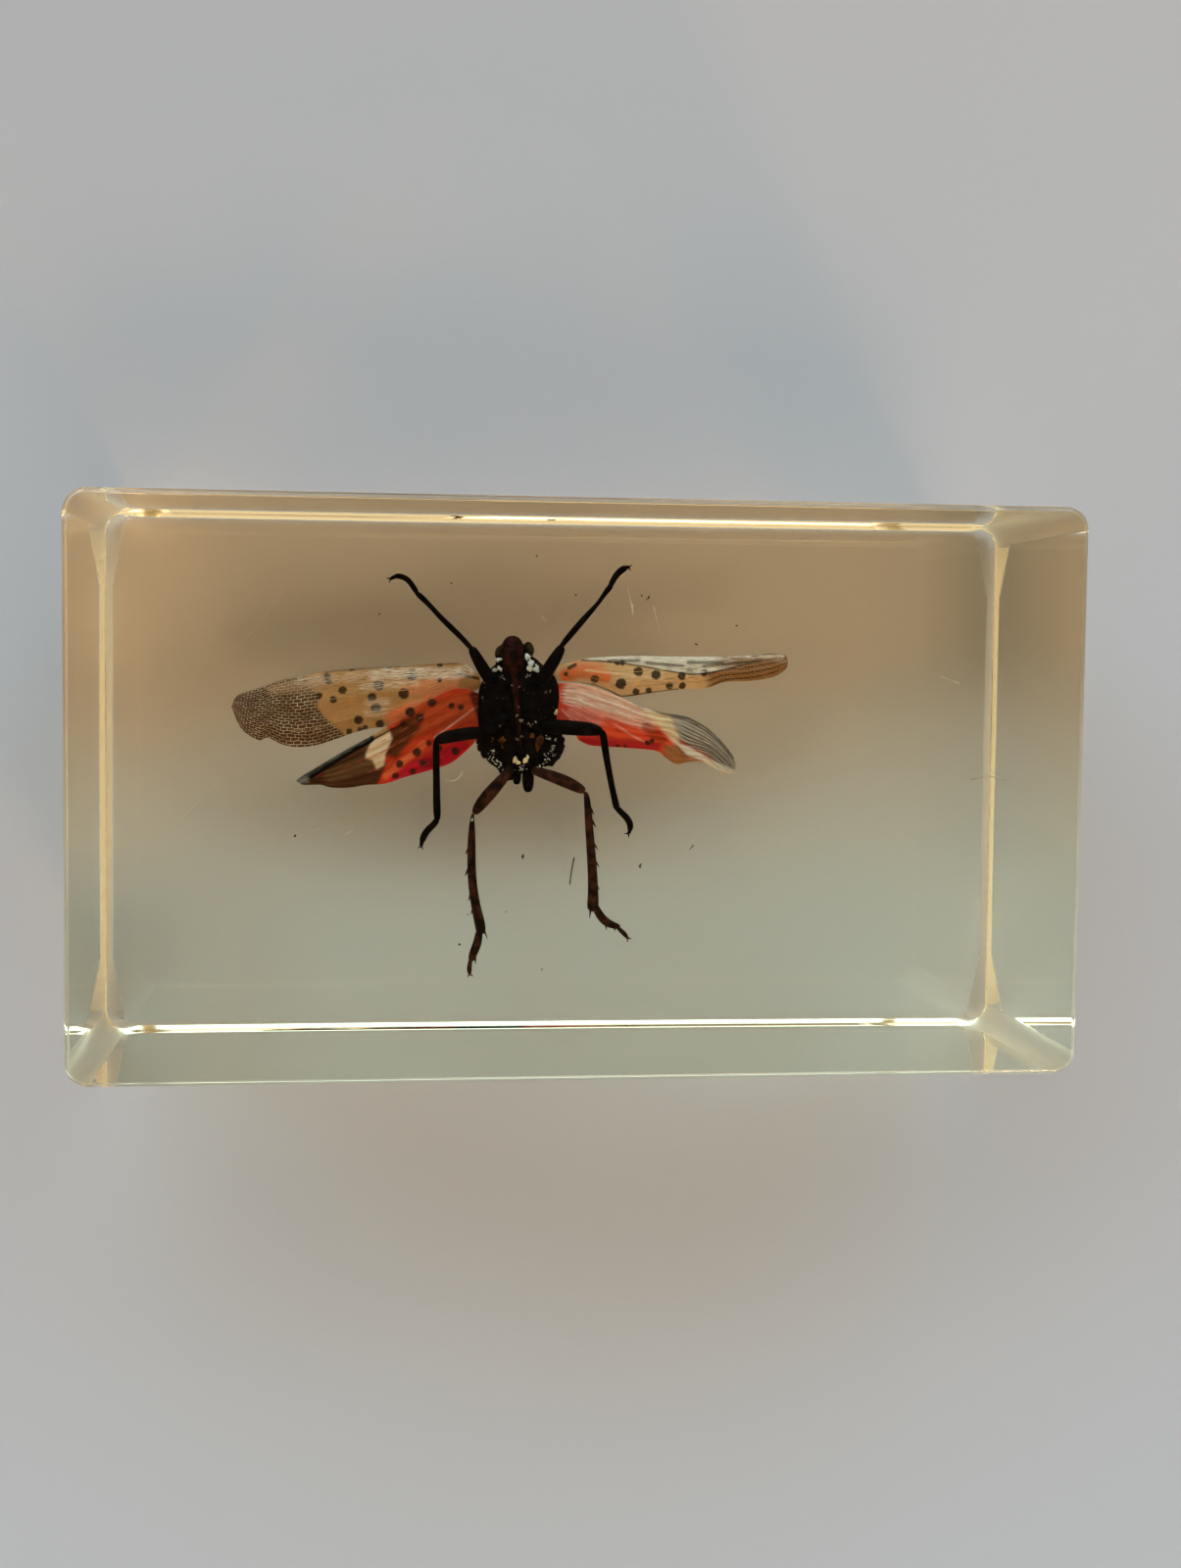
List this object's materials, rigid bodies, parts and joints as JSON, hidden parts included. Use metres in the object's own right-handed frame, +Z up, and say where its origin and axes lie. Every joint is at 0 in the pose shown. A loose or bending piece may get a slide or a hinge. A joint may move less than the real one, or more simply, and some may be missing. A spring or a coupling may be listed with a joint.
{
  "type": "insect in resin block",
  "caption": "Clear rectangular resin block with rounded edges, cast round a spread planthopper; rests flat as a specimen or paperweight.",
  "frame": {"origin": "middle of the underside, on the surface that the block rests on", "axes": "+X along the length, +Y along the width towards the specimen's head, +Z up through the top face"},
  "size_m": [0.073, 0.0416, 0.03],
  "materials": {
    "casting_resin": "polished clear cast resin, faintly straw yellow"
  },
  "bodies": {
    "root": {"resin_block": "casting_resin"}
  },
  "joints": []
}
